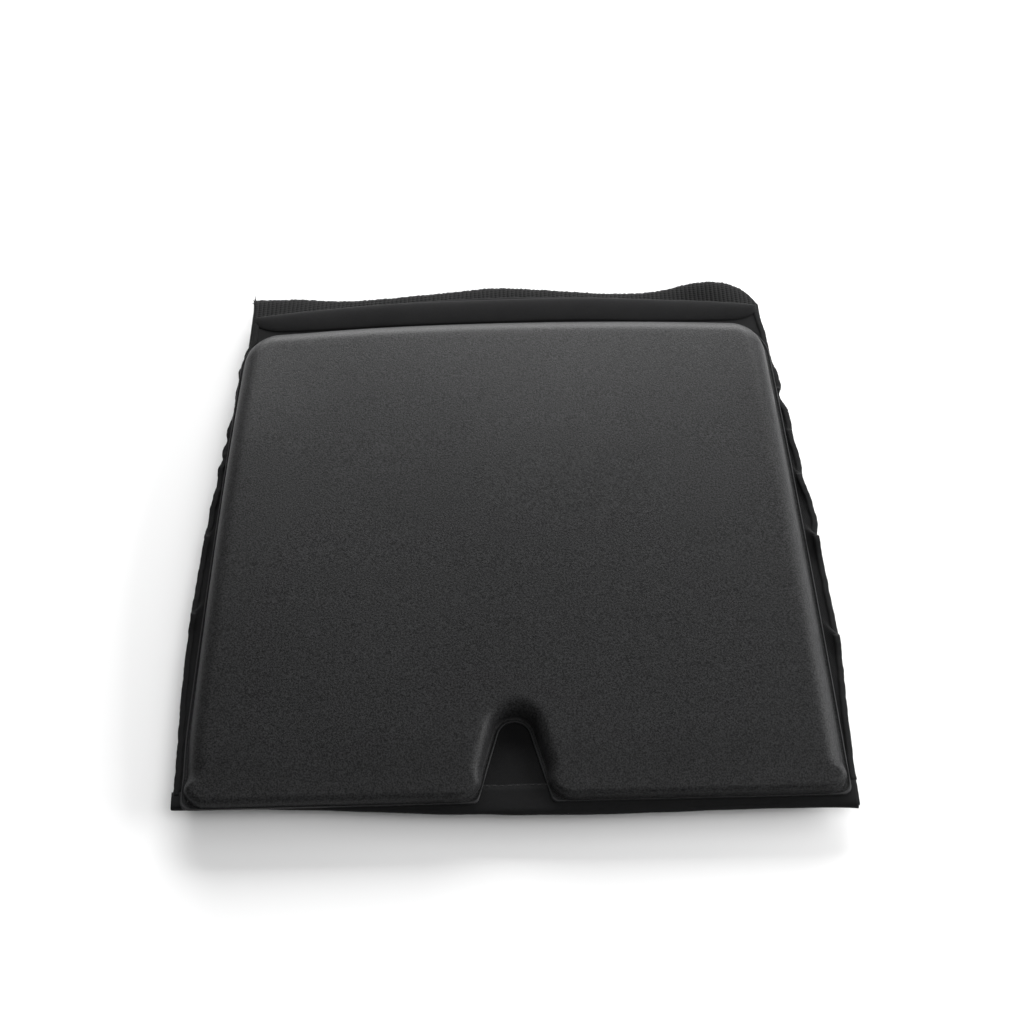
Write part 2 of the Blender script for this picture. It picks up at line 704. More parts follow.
# -------------------------------------------------------------------- sewing
def stitch_row(name, path, up, body, belt):
    """Stitches along a path of points: each is a short rounded thread that dips at both ends."""
    path = np.asarray(path, dtype=float)
    hops = np.linalg.norm(np.diff(path, axis=0), axis=1)
    along = np.concatenate([[0], np.cumsum(hops)])
    pitch = belt.stitch_length + belt.stitch_gap
    count = max(1, int(along[-1] / pitch))
    radius = belt.thread / 2
    places = np.linspace(0, 1, 6)
    angles = np.linspace(0, 2 * math.pi, 6, endpoint=False)
    points, faces = [], []
    up = np.asarray(up, dtype=float)
    for k in range(count):
        at = (k + 0.15) * pitch + places * belt.stitch_length
        line = np.stack([np.interp(at, along, path[:, i]) for i in range(3)], axis=1)
        run = line[-1] - line[0]
        run /= np.linalg.norm(run)
        side = np.cross(up, run)
        lift = np.sin(places * math.pi)
        start = len(points)
        for place, height in zip(line, lift):
            centre = place + up * (radius * (1.5 * height - 0.9))
            size = radius * (0.55 + 0.45 * height)
            points += [
                centre + side * (size * math.cos(a)) + up * (size * math.sin(a)) for a in angles
            ]
        faces += [tuple(q) for q in grid_faces(len(places), len(angles), start, wrap=True)]
        faces.append(tuple(range(start, start + len(angles)))[::-1])
        faces.append(tuple(range(len(points) - len(angles), len(points))))
    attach(new_piece(name, points, faces, "thread"), body)


def folded_tape(name, edge, inward, thickness, width, tape, finish_name="tape", pucker=0.12, seed=3):
    """Binding tape folded round a cloth edge. edge is the path of the edge at mid-thickness."""
    edge, inward = np.asarray(edge, dtype=float), np.asarray(inward, dtype=float)
    half = thickness / 2
    bend = [(0.25, 1.0), (-0.55, 0.80), (-0.95, 0.40), (-1.05, 0.0), (-0.95, -0.40), (-0.55, -0.80), (0.25, -1.0)]
    shape = [(width, half), (width * 0.55, half + 0.06 * MM)]
    shape += [(a * half, z * half) for a, z in bend]
    shape += [
        (width * 0.55, -half - 0.03 * MM), (width, -half), (width, -half + tape), (0.3 * half, -half + tape),
        (0.0, 0.0), (0.3 * half, half - tape), (width, half - tape),
    ]
    hops = np.concatenate([[0], np.cumsum(np.linalg.norm(np.diff(edge, axis=0), axis=1))])
    wobble = ripple(hops / MM * 0.35, seed) * pucker * MM
    sections = []
    for place, to_inside, w in zip(edge, inward, wobble):
        to_inside = to_inside / np.linalg.norm(to_inside)
        sections.append([
            place + to_inside * (a + w) + np.array([0, 0, z + 0.35 * w * (z > 0)]) for a, z in shape
        ])
    points, faces = swept(np.array(sections)[:, ::-1])
    return new_piece(name, points, faces, finish_name)


def path_inward(path, centre):
    """Unit vectors square to a plan path, towards a centre."""
    path = np.asarray(path, dtype=float)
    run = np.gradient(path, axis=0)
    normal = np.stack([-run[:, 1], run[:, 0], np.zeros(len(path))], axis=1)
    normal /= np.linalg.norm(normal, axis=1)[:, None]
    facing = np.sign(np.einsum("ij,ij->i", normal, np.asarray(centre) - path))
    return normal * facing[:, None]


# --------------------------------------------------------------- back section
# Half the panel's width, in millimetres, at heights up the back: the gathered sides stand out in
# long scallops, each of which ends above in a small step inwards.
SIDE_EDGES = {
    1.0: (
        (-141.0, 151.4), (-133.0, 151.2), (-126.0, 150.1), (-92.0, 150.0), (-66.0, 150.4), (-54.0, 149.4),
        (-30.0, 147.5), (-8.0, 145.5), (-5.0, 145.3), (-1.0, 146.2), (10.0, 145.0), (24.0, 141.4), (26.5, 141.1),
        (30.0, 141.7), (40.0, 140.7), (48.5, 138.8), (51.0, 138.6), (54.0, 139.2), (64.0, 137.7), (71.5, 134.8),
        (74.0, 134.4), (77.5, 135.8),
        (86.0, 134.9), (93.0, 132.4), (100.0, 131.9), (112.0, 130.6), (122.0, 128.6), (136.0, 126.2),
    ),
    -1.0: (
        (-141.0, 150.9), (-133.0, 151.2), (-127.0, 151.0), (-103.0, 150.8), (-88.0, 150.9), (-64.0, 150.3),
        (-33.0, 148.4),
        (-1.0, 145.3), (26.0, 142.0), (49.0, 138.8), (66.0, 136.5), (78.0, 134.6), (93.0, 133.8), (99.0, 132.8),
        (105.0, 130.9), (112.0, 129.2), (122.0, 127.6), (136.0, 126.0),
    ),
}
# Heights of the panel's lower edge, in millimetres, from left to right.
LOWER_EDGE = (
    (-160.0, -136.4), (-119.0, -136.4), (-82.0, -138.0), (-42.0, -140.6), (-2.0, -142.1), (37.0, -142.9),
    (81.0, -142.3), (111.0, -141.9), (140.0, -142.2), (160.0, -143.6),
)
# Heights of the creases that run out of the steps between scallops.
CREASES = {
    1.0: (93.0, 73.5, 51.0, 26.5, -5.5, -56.0),
    -1.0: (96.0, 84.0, 73.0, 60.0, 44.0, 25.0, 2.0, -38.0),
}
CREASE_HEIGHT = {1.0: 2.5, -1.0: 1.3}
JAGS = {1.0: 0.10, -1.0: 0.5}


def along_table(table, at, blur):
    """A table in millimetres read at places in metres, by a short mean that takes its corners off."""
    places, values = np.array(table).T * MM
    return sum(np.interp(at + k * blur, places, values) for k in (-1, 0, 1)) / 3


class PanelPlan:
    """The backing panel's outline, with its gathered sides."""

    def __init__(self, belt):
        self.belt = belt
        self.bottom_half = node_box("lower_hem")[1][0]
        self.low = PAD_Y - 3.5 * MM
        self.high = PANEL_HIGH[1]

    def half_width(self, y, side):
        """Half the width at a height, with the gathers of one side."""
        fine = ripple(y / MM * 0.9, 11 if side > 0 else 12) * 0.12 * MM
        wave = np.sin(y / MM * 0.42 + 1.4 * np.sin(y / MM * 0.13))
        jags = smooth_step((y + 0.02) / 0.06) * wave * self.belt.gather
        return along_table(SIDE_EDGES[side], y, 1.3 * MM) + fine + jags * JAGS[side]

    def bottom(self, x):
        """The lower edge: it bows down, lowest a little to the right."""
        return along_table(LOWER_EDGE, x, 6 * MM)

    def top(self, x):
        """The upper edge: it bows up behind the hem."""
        return self.high + 0.6 * MM - 0.60 * x**2


def panel_folds(x, y, plan, pad_plan):
    """How far the panel's margin stands up: diagonal creases that run out from the pad's flange."""
    side = np.sign(x)
    beyond = -pad_plan.flange(x, y)
    outside = np.clip(beyond / (4.0 * MM), 0, 1.5)
    upper_side, lower_side = 1.5 * MM, 7.0 * MM
    crest = np.zeros_like(x)
    for hand, heights in CREASES.items():
        for k, height in enumerate(heights):
            # Each crease drops as it runs outwards, steeply on its upper side and gently below.
            off = y - height * MM + np.clip(beyond, 0, 1) * 1.5 - 4.0 * MM
            shape = np.exp(-((off / np.where(off > 0, upper_side, lower_side)) ** 2))
            crest += shape * (side == hand) * CREASE_HEIGHT[hand] * (0.8 + 0.3 * math.sin(k * 2.1))
    ends = smooth_step((y - plan.low) / 0.02) * smooth_step((0.115 - y) / 0.015)
    return outside * (crest + 0.25) * ends * MM


def make_backing_cloth(belt, pad):
    """Woven backing that the pad's flange is sewn to; its margin is gathered."""
    plan, pad_plan = PanelPlan(belt), PadPlan(pad)
    rows = np.linspace(0, 1, 300)[:, None]
    across = np.sin(np.linspace(-1, 1, 141) * math.pi / 2)
    across = (np.sign(across) * (1 - (1 - np.abs(across)) ** 0.85))[None, :]
    rough_x = across * plan.bottom_half
    low = plan.bottom(rough_x) + 1.2 * MM
    y = low + (plan.top(rough_x * 0.86) - low) * rows
    half = np.where(across > 0, plan.half_width(y, 1.0), plan.half_width(y, -1.0)) - 0.8 * MM
    x = across * half
    folds = panel_folds(x, y, plan, pad_plan)
    sag = ripple(x / MM * 0.06 + y / MM * 0.05, 21) * 0.10 * MM
    top = PANEL_HIGH[2] - 0.12 * MM + folds + sag * (folds > 0)
    upper = np.stack([x, y, top], axis=-1)
    lower = np.stack([x, y, top - 1.0 * MM], axis=-1)
    points, faces = two_faced(upper, lower)
    cloth = new_piece("backing_cloth", points, faces, "cloth")
    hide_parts("backing_panel")
    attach(cloth, BODY)


def make_side_hems(belt, pad):
    """Gathered tapes along the panel's sides."""
    plan, pad_plan = PanelPlan(belt), PadPlan(pad)
    for name, side in SIDES.items():
        y = np.linspace(plan.low + 11 * MM, plan.high - 12 * MM, 560)
        x = side * (plan.half_width(y, side) - 0.9 * MM)
        z = PANEL_HIGH[2] - 0.62 * MM + panel_folds(x, y, plan, pad_plan)
        edge = np.stack([x, y, z], axis=1)
        hem = folded_tape(
            f"side_hem_tape_{name}", edge, path_inward(edge, (0, 0, 0)) * (1, 1, 0),
            1.7 * MM, 2.0 * MM, 0.3 * MM, "cloth", pucker=0.2, seed=31 if side > 0 else 32,
        )
        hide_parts(f"side_hem_{name}")
        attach(hem, BODY)


def make_lower_hem(belt):
    """Tape folded round the lower edge, and the row of stitches at its top."""
    plan = PanelPlan(belt)
    seam = PAD_Y + 9.0 * MM
    top = PANEL_HIGH[2]
    shares = np.concatenate([[-1.0], np.linspace(-0.992, 0.992, 240), [1.0]])
    x = shares * (plan.bottom_half - 1.1 * MM) - 0.8 * MM
    # Share of the way from the edge to the seam, and height against the panel's top in millimetres.
    shape = [
        (1.0, 0.10), (0.75, 0.20), (0.45, 0.26), (0.2, 0.22), (0.07, 0.0), (0.01, -0.5), (-0.01, -1.2),
        (0.0, -2.2), (0.04, -2.9), (0.12, -3.2), (0.3, -3.3), (0.55, -3.3), (0.55, -3.0), (0.2, -2.9),
        (0.11, -2.4), (0.10, -0.9), (0.15, -0.35), (1.0, -0.3),
    ]
    edge = plan.bottom(x) + ripple(x / MM * 0.11, 41) * 0.18 * MM
    sections = []
    for place, low in zip(x, edge):
        end = 1.0 - smooth_step((plan.bottom_half - abs(place)) / (1.5 * MM))
        lift = 0.35 * MM * math.sin(place / MM * 0.045 + 0.4)
        sections.append([
            (place, low + (seam - low) * s, top + z * (1 - 0.3 * end) * MM + lift * (1 - s) * (z > -0.5))
            for s, z in shape
        ])
    points, faces = swept(sections)
    hem = new_piece("lower_hem_tape", points, faces, "tape")
    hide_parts("lower_hem")
    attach(hem, BODY)
    row_x = np.linspace(-0.146, 0.146, 200)
    row = np.column_stack(np.broadcast_arrays(row_x, seam - 0.7 * MM, top + 0.14 * MM))
    stitch_row("lower_hem_stitches", row, (0, 0, 1), BODY, belt)


def make_top_hem(belt):
    """Soft rolled hem above the pad."""
    plan = PanelPlan(belt)
    low, high = node_box("top_hem")
    shares = np.linspace(-1, 1, 260)
    angles = np.linspace(0, math.pi, 15)
    sections = []
    for share in shares:
        place = share * (high[0] + 0.8 * MM)
        end = math.sqrt(max(0.0, 1 - max(0.0, (abs(share) - 0.88) / 0.12) ** 2))
        wander = float(ripple(place / MM * 0.045, 51)) * 0.5 * MM
        top = plan.top(place) + (1.0 - 2.2 * (1 - share**2)) * MM + wander
        half = (7.0 - 2.4 * share**4) * MM * (0.30 + 0.70 * end)
        tall = (high[2] - low[2]) * (0.95 + 0.12 * float(ripple(place / MM * 0.07, 52)))
        arc = []
        for a in angles:
            # The roll is steepest at its upper edge and slopes down towards the pad.
            y = top - half + half * math.cos(a)
            rise = tall * end * math.sin(a) ** 0.7 * (0.72 + 0.28 * math.cos(a))
            arc.append((place, y, low[2] - 0.1 * MM + rise))
        arc.append((place, top - half, low[2] - 0.3 * MM))
        sections.append(arc)
    points, faces = swept(np.array(sections)[:, ::-1])
    hem = new_piece("top_hem_roll", points, faces, "tape")
    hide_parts("top_hem")
    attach(hem, BODY)


# Heights of the elastic's free upper edge, in millimetres, from its cut left end to its rounded right.
ELASTIC_EDGE = (
    (-130.0, 139.7), (-103.0, 140.0), (-92.0, 139.1), (-82.0, 138.3), (-70.0, 138.4), (-54.0, 139.3),
    (-30.0, 141.6), (-8.0, 143.6), (0.0, 143.3), (28.0, 140.9), (50.0, 139.2), (69.0, 138.4), (80.0, 139.3),
    (92.0, 141.8), (103.0, 142.9), (112.0, 142.6), (119.0, 140.0), (124.0, 135.6), (128.0, 128.5),
)
# Half the width of the elastic's upper edge, and half the thickness of its web between the cords.
ELASTIC_TOP_HALF = 127.6 * MM
WEB_HALF_THICK = 0.42 * MM


def elastic_top(x):
    """The free upper edge of the back elastic: it wanders, and turns down into the right-hand fold."""
    return along_table(ELASTIC_EDGE, x, 1.5 * MM)


def make_back_elastic(belt):
    """Ribbed elastic behind the panel; its top stands above the hem, cut square at the left."""
    pitch = belt.rib_pitch
    half, top_half = ELASTIC_HIGH[0], ELASTIC_TOP_HALF
    columns = np.arange(-top_half, top_half + 1e-9, pitch / 8)
    share = columns / top_half
    y_low, y_high = PanelPlan(belt).bottom(share * half) + 4.0 * MM, elastic_top(columns)
    rng = np.random.default_rng(61)
    tooth_places = np.arange(-0.13, 0.131, pitch / 2)
    teeth = np.interp(columns, tooth_places, rng.uniform(-0.22, 0.22, len(tooth_places))) * MM
    y_high = y_high + teeth
    rows = np.concatenate([np.linspace(0, 0.90, 20, endpoint=False), np.linspace(0.90, 1, 26)])
    t = rows[:, None]
    y = y_low[None, :] + (y_high - y_low)[None, :] * t
    width = half + (top_half - half) * (y - ELASTIC_LOW[1]) / (ELASTIC_HIGH[1] - ELASTIC_LOW[1])
    # The cut left end leans out a little at its tip.
    shift = np.where(share < 0, -0.6 * MM, 0) * np.abs(share) ** 20 * smooth_step((t - 0.97) / 0.03)
    x = share[None, :] * width + shift
    cord = np.abs(np.cos(np.pi * columns / pitch))[None, :] ** 0.7
    middle = (ELASTIC_LOW[2] + ELASTIC_HIGH[2]) / 2
    # The free edge waves: it stands up most where it turns into the right-hand fold.
    wave = 2.4 * np.exp(-((columns / MM - 104) / 17.0) ** 2) + 0.9 * np.exp(-((columns / MM + 10) / 26.0) ** 2)
    wave = wave + 0.4 * np.sin(columns / MM * 0.09)
    lift = wave[None, :] * MM * smooth_step((t - 0.93) / 0.07)
    half_thick = WEB_HALF_THICK + belt.rib_height / 2 * cord - 0.15 * MM * smooth_step((t - 0.99) / 0.01)
    upper = np.stack([x, y, middle + lift + half_thick], axis=-1)
    lower = np.stack([x, y, middle + lift - half_thick], axis=-1)
    points, faces = two_faced(upper, lower)
    web = new_piece("back_elastic_web", points, faces, "elastic")
    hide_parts("back_elastic")
    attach(web, BODY)
    make_frayed_corner(top_half, float(elastic_top(np.array([-top_half]))[0]), middle)


def make_frayed_corner(half, y_top, z):
    """Loose thread ends at the elastic's cut corner."""
    rng = np.random.default_rng(62)
    points, faces = [], []
    angles = np.linspace(0, 2 * math.pi, 5, endpoint=False)
    for k in range(9):
        # The first thread is the longest and stands straight up.
        reach = rng.uniform(0.8, 2.4) * MM if k else 3.4 * MM
        out = -half - 0.4 * MM + rng.uniform(-0.2, 0.6) * MM
        start = np.array([out, y_top - rng.uniform(-0.2, 3.0) * MM * (k > 0), z])
        heading = np.array([-0.25, 1.0, 0.15])
        if k:
            heading = np.array([rng.uniform(-0.8, -0.1), rng.uniform(0.1, 1.0), rng.uniform(0.0, 0.5)])
        heading /= np.linalg.norm(heading)
        bend = np.array([rng.uniform(-0.4, 0.4), rng.uniform(-0.4, 0.4), 0.2])
        first = len(points)
        for s in np.linspace(0, 1, 6):
            place = start + heading * reach * s + bend * reach * s * s
            size = 0.28 * MM * (1 - 0.6 * s)
            points += [
                place + size * np.array([math.cos(a), 0.3 * math.cos(a), math.sin(a)]) for a in angles
            ]
        faces += [tuple(q) for q in grid_faces(6, 5, first, wrap=True)]
        faces.append(tuple(range(first, first + 5))[::-1])
        faces.append(tuple(range(len(points) - 5, len(points))))
    threads = new_piece("frayed_threads", points, faces, "elastic")
    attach(threads, BODY)


def make_lining():
    """Spacer-mesh lining with a rounded outline, quilted along its stay channels."""
    low, high = node_box("lining_mesh")
    low[1] += 1.5 * MM
    rows, columns = 90, 91
    v = np.linspace(0, 1, rows)[:, None]
    u = np.linspace(-1, 1, columns)[None, :]
    y = low[1] + (high[1] - low[1]) * v + 0 * u
    half = high[0] + (0.1235 - high[0]) * v
    near_end = np.minimum(v, 1 - v) * (high[1] - low[1]) / 0.012
    half = half - 0.012 * (1 - np.sqrt(np.clip(1 - (1 - np.clip(near_end, 0, 1)) ** 2, 0, 1)))
    x = u * half
    from_edge = np.minimum((1 - np.abs(u)) * half, np.minimum(v, 1 - v) * (high[1] - low[1]))
    rim = np.clip(from_edge / (2.5 * MM), 0, 1)
    round_off = np.sqrt(np.clip(1 - (1 - rim) ** 2, 0, 1))
    middle, half_thick = (low[2] + high[2]) / 2, (high[2] - low[2]) / 2
    quilt = np.zeros_like(x)
    for stay in ("left_outer", "left_inner", "right_inner", "right_outer"):
        a, b = node_box(f"back_stay_{stay}")
        centre = (a[0] + b[0]) / 2
        lean = -math.copysign(math.tan(math.radians(4.0)), centre)
        off = np.abs(x - centre - lean * (y - (a[1] + b[1]) / 2)) - 7.0 * MM
        quilt += np.exp(-((off / (0.9 * MM)) ** 2)) * 0.5 * MM
    upper = np.stack([x, y, middle + half_thick * round_off - 0.05 * MM], axis=-1)
    lower = np.stack([x, y, middle - half_thick * round_off + quilt * round_off], axis=-1)
    points, faces = two_faced(upper, lower)
    lining = new_piece("lining_cloth", points, faces, "mesh")
    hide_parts("lining_mesh")
    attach(lining, BODY)


# --------------------------------------------------------------- folded belt
def joint(name):
    return next(j for j in frame["joints"] if j["name"] == name)


# Length of a closure tab from its fold to its tip, and the length over which it tapers.
TAB_LONG = 94.7 * MM
TAB_TAPER = 95.0 * MM
# Place of the stay tunnel's middle from the wing's fold, half its width and half its length.
TUNNEL_CENTRE, TUNNEL_HALF_WIDTH, TUNNEL_HALF_LONG = 10.5 * MM, 5.5 * MM, 95.0 * MM


class FoldedSide:
    """One folded side of the belt. In its own plan, a runs in from the fold and b runs up along it."""

    def __init__(self, name):
        self.name, self.side = name, SIDES[name]
        fold = joint(f"{name}_wing_fold")
        self.origin = np.array(fold["pos_m"])
        up = np.array(fold["axis"]) * -self.side
        self.up = up / np.linalg.norm(up)
        self.inward = np.array([-self.side * self.up[1], self.side * self.up[0], 0.0])
        self.tab_fold = np.array(joint(f"{name}_tab_fold")["pos_m"])
        self.reach = float((self.tab_fold - self.origin) @ self.inward) - 2 * MM
        low, high = node_box(f"wing_elastic_{name}")
        self.wing_z = (low[2] + high[2]) / 2
        low, high = node_box(f"tab_strap_{name}")
        self.strap_z = (low[2] + high[2]) / 2

    def place(self, a, b, z):
        """World points from the side's own plan."""
        a, b, z = (v[..., None] for v in np.broadcast_arrays(a, b, z))
        return self.origin * (1, 1, 0) + a * self.inward + b * self.up + z * np.array([0, 0, 1.0])

    def wing_half(self, a):
        """Half the wing's height."""
        return (131.0 + (99.0 - 131.0) * np.clip(a, 0, None) / 0.118) * MM

    def tab_half(self, a):
        """Half the tab's height, with its rounded tip."""
        plain = (94.0 + (58.0 - 94.0) * (self.reach - a) / TAB_TAPER) * MM
        corner = 18 * MM
        near = np.clip((a - (self.reach - TAB_TAPER)) / corner, 0, 1)
        return plain - corner * (1 - np.sqrt(np.clip(1 - (1 - near) ** 2, 0, 1)))


def fold_line(points, count):
    """Points spread evenly along a path, with their sideways normals; both in the (a, z) plane."""
    points = np.asarray(points, dtype=float)
    along = np.concatenate([[0], np.cumsum(np.linalg.norm(np.diff(points, axis=0), axis=1))])
    at = np.linspace(0, along[-1], count)
    path = np.stack([np.interp(at, along, points[:, i]) for i in range(2)], axis=1)
    run = np.gradient(path, axis=0)
    run /= np.linalg.norm(run, axis=1)[:, None]
    return path, np.stack([-run[:, 1], run[:, 0]], axis=1), at


def make_wing(folded, belt):
    """Ribbed side elastic: it leaves the back elastic, turns round the fold and runs inwards."""
    back_z = (ELASTIC_LOW[2] + ELASTIC_HIGH[2]) / 2
    radius = (back_z - folded.wing_z) / 2
    turn = np.linspace(math.pi / 2, 3 * math.pi / 2, 25)
    path = [(3.0 * MM, back_z)]
    path += [(radius * math.cos(a), folded.wing_z + radius + radius * math.sin(a)) for a in turn]
    path += [(a, folded.wing_z) for a in np.linspace(2 * MM, folded.reach, 60)]
    line, side, at = fold_line(path, 520)
    # The fold sits inside the panel's edge, a little deeper in towards the top.
    drawn_in = 1 - smooth_step((at - at[0] - 8 * MM) / (22 * MM))
    rows = np.linspace(-1, 1, 41)
    half = folded.wing_half(line[:, 0]) - 0.15 * MM
    cord = np.abs(np.cos(np.pi * at / belt.rib_pitch)) ** 0.8
    thick = WEB_HALF_THICK + belt.rib_height / 2 * cord
    thin = 1 - 0.55 * smooth_step((np.abs(rows) - 0.985) / 0.015)
    grids = []
    for sign in (-1, 1):
        b = rows[:, None] * half[None, :]
        shift = (2.4 + 3.0 * smooth_step((b - 0.060) / 0.065)) * MM * drawn_in[None, :]
        a = line[None, :, 0] + shift + sign * side[None, :, 0] * thick[None, :] * thin[:, None]
        z = line[None, :, 1] + sign * side[None, :, 1] * thick[None, :] * thin[:, None]
        grids.append(folded.place(a, b, z))
    points, faces = two_faced(*grids)
    web = new_piece(f"wing_web_{folded.name}", points, faces, "elastic")
    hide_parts(f"wing_elastic_{folded.name}")
    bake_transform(web)


def make_wing_tapes(folded, belt):
    """Binding tapes on the wing's two long edges, each with its stitches."""
    a = np.linspace(5.5 * MM, folded.reach, 120)
    body = f"{folded.name}_wing"
    for name, up in (("upper", 1), ("lower", -1)):
        b = up * folded.wing_half(a)
        edge = folded.place(a, b, folded.wing_z)
        inward = path_inward(edge, folded.place(0.06, 0, folded.wing_z)) * (1, 1, 0)
        tape = folded_tape(
            f"wing_tape_{name}_{folded.name}", edge, inward, 2.5 * MM, 7.0 * MM, 0.4 * MM,
            seed=71 + int(folded.side),
        )
        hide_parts(f"wing_binding_{name}_{folded.name}")
        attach(tape, body)
        row = edge + inward * 5.6 * MM - (0, 0, 1.22 * MM)
        stitch_row(f"wing_stitches_{name}_{folded.name}", row[::-1], (0, 0, -1), body, belt)


def make_stay_channel(folded, belt):
    """Tape tunnel under the wing that holds its stay."""
    low, high = node_box(f"wing_stay_channel_{folded.name}")
    rows, columns = np.linspace(-1, 1, 120), np.linspace(-1, 1, 17)
    end = np.sqrt(np.clip(1 - np.clip((np.abs(rows) - 0.972) / 0.028, 0, 1) ** 2, 0.02, 1))
    crown = np.clip(1 - np.abs(columns) ** 5, 0.02, 1) ** 0.6
    a, b = np.broadcast_arrays(
        TUNNEL_CENTRE + columns[None, :] * TUNNEL_HALF_WIDTH, rows[:, None] * TUNNEL_HALF_LONG
    )
    waver = 0.06 * MM * np.sin(rows * 61)[:, None] * crown[None, :]
    top = high[2] - 0.02 * MM
    drop = (high[2] - low[2] - 0.35 * MM) * crown[None, :] * end[:, None] + 0.32 * MM
    under = folded.place(a, b, top - drop - waver)
    over = folded.place(a, b, np.full_like(a, top))
    points, faces = two_faced(over, under) if folded.side < 0 else two_faced(under, over)
    channel = new_piece(f"stay_tunnel_{folded.name}", points, faces, "cloth")
    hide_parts(f"wing_stay_channel_{folded.name}")
    body = f"{folded.name}_wing"
    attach(channel, body)
    for k, share in (("inner", 0.86), ("outer", -0.86)):
        b_row = np.linspace(-92, 92, 90) * MM
        row = folded.place(TUNNEL_CENTRE + share * TUNNEL_HALF_WIDTH, b_row, top - 0.95 * MM)
        stitch_row(f"tunnel_stitches_{k}_{folded.name}", row, (0, 0, -1), body, belt)


def make_tab(folded, belt):
    """Closure tab: a strap turned back under the wing's end, with its binding, stitches and field."""
    name, z = folded.name, folded.strap_z
    wing, body = f"{name}_wing", f"{name}_tab"
    radius = (folded.wing_z - z) / 2
    turn = np.linspace(math.pi / 2, -math.pi / 2, 17)
    path = [(folded.reach - 5 * MM, folded.wing_z)]
    path += [(folded.reach + radius * math.cos(t), z + radius + radius * math.sin(t)) for t in turn]
    path += [(a, z) for a in np.linspace(folded.reach - 2 * MM, folded.reach - TAB_LONG, 50)]
    line, side, at = fold_line(path, 150)
    rows = np.linspace(-1, 1, 61)
    half = folded.tab_half(np.where(at < 6 * MM, folded.reach, np.minimum(line[:, 0], folded.reach)))
    grids = []
    for sign in (-1, 1):
        a = line[None, :, 0] + sign * side[None, :, 0] * 0.45 * MM + 0 * rows[:, None]
        zz = line[None, :, 1] + sign * side[None, :, 1] * 0.45 * MM + 0 * rows[:, None]
        grids.append(folded.place(a, rows[:, None] * half[None, :], zz))
    points, faces = two_faced(*grids)
    strap = new_piece(f"tab_straps_{name}", points, faces, "cloth")
    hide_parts(f"tab_strap_{name}")
    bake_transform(strap)

    tip = folded.reach - TAB_LONG
    steps = tip + (folded.reach - 5 * MM - tip) * np.linspace(0, 1, 90) ** 1.8
    low_b, top_b = -folded.tab_half(steps[::-1]), folded.tab_half(steps)
    tip_b = np.linspace(-1, 1, 40)[1:-1] * folded.tab_half(np.array([tip]))[0]
    a = np.concatenate([steps[::-1], np.full(38, tip), steps])
    b = np.concatenate([low_b, tip_b, top_b])
    edge = folded.place(a, b, z)
    inward = path_inward(edge, folded.place(folded.reach - 40 * MM, 0, z)) * (1, 1, 0)
    tape = folded_tape(
        f"tab_tape_{name}", edge, inward, 1.55 * MM, 4.7 * MM, 0.28 * MM, pucker=0.06,
        seed=81 + int(folded.side),
    )
    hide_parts(f"tab_binding_{name}")
    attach(tape, body)
    # The stitches sit on the upper face only, clear of the floor.
    row = edge + inward * 3.6 * MM + (0, 0, 0.74 * MM)
    stitch_row(f"tab_stitches_{name}", row, (0, 0, 1), body, belt)

    field = "hook_field" if folded.side > 0 else "loop_field"
    make_field(folded, field, body)


# A hook's stations: share of its height, how far it leans over and its width.
HOOK = ((0.0, 0.0, 1.2), (0.5, 0.0, 0.9), (0.85, 0.55, 0.85), (0.80, 1.15, 0.6))


def bent_hooks(folded, span_a, base_z, tall, body_height, count):
    """Rows of bent hooks under a base, alternate rows leaning opposite ways."""
    rng = np.random.default_rng(91)
    points, faces = [], []
    size, row_gap, hook_gap = 0.17 * MM, 1.9 * MM, 2.1 * MM
    z0 = base_z - body_height + 0.05 * MM
    for i, ha in enumerate(np.arange(span_a[0] + 3.2 * MM, span_a[1] - 2 * MM, row_gap)):
        span = float(folded.tab_half(np.array([ha]))[0]) - 9.5 * MM
        lean = 0.32 * MM * (1 if i % 2 else -1)
        for hb in np.arange(-span, span, hook_gap) + (i % 2) * hook_gap / 2:
            start = count + len(points)
            for height, shift, width in HOOK:
                centre_z = z0 - height * (tall - body_height - 0.05 * MM)
                for da, db in ((-1, -1), (1, -1), (1, 1), (-1, 1)):
                    waver = rng.uniform(-1, 1) * 0.02 * MM
                    a = ha + da * size * width
                    b = hb + lean * shift + db * size * width + waver
                    z = centre_z + (0.06 * MM if shift > 1 and db > 0 else 0.0)
                    points.append(folded.place(np.array(a), np.array(b), np.array(z)))
            faces += [tuple(q) for q in grid_faces(4, 4, start, wrap=True, flip=folded.side > 0)]
            faces.append(tuple(range(start + 12, start + 16)))
            faces.append(tuple(range(start, start + 4))[::-1])
    return points, faces


